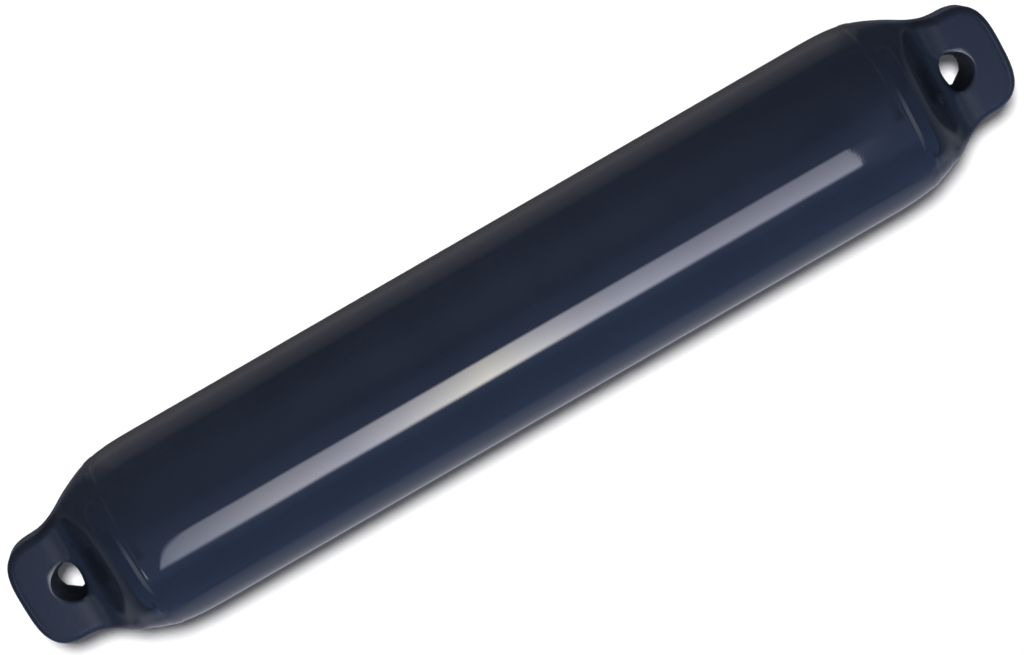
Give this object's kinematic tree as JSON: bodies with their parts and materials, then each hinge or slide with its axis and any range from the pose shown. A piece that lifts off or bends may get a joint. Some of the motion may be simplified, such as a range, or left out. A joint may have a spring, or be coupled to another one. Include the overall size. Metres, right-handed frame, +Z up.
{
  "type": "boat fender",
  "caption": "Inflatable vinyl boat fender: a round body that narrows to a flat ear with an oval rope eye at each end.",
  "frame": {"origin": "on the ground plane under the middle of the fender, at the middle of its flat spot", "axes": "+X along the fender towards the ear that has the air valve beside it, +Y level across it, +Z up, square to the faces of both ears"},
  "size_m": [0.75, 0.1298, 0.1294],
  "materials": {
    "navy_vinyl": "smooth glossy moulded vinyl, dark navy blue",
    "black_rubber": "matt black rubber valve plug"
  },
  "bodies": {
    "root": {"fender_body": "navy_vinyl", "air_valve": "black_rubber"}
  },
  "joints": []
}
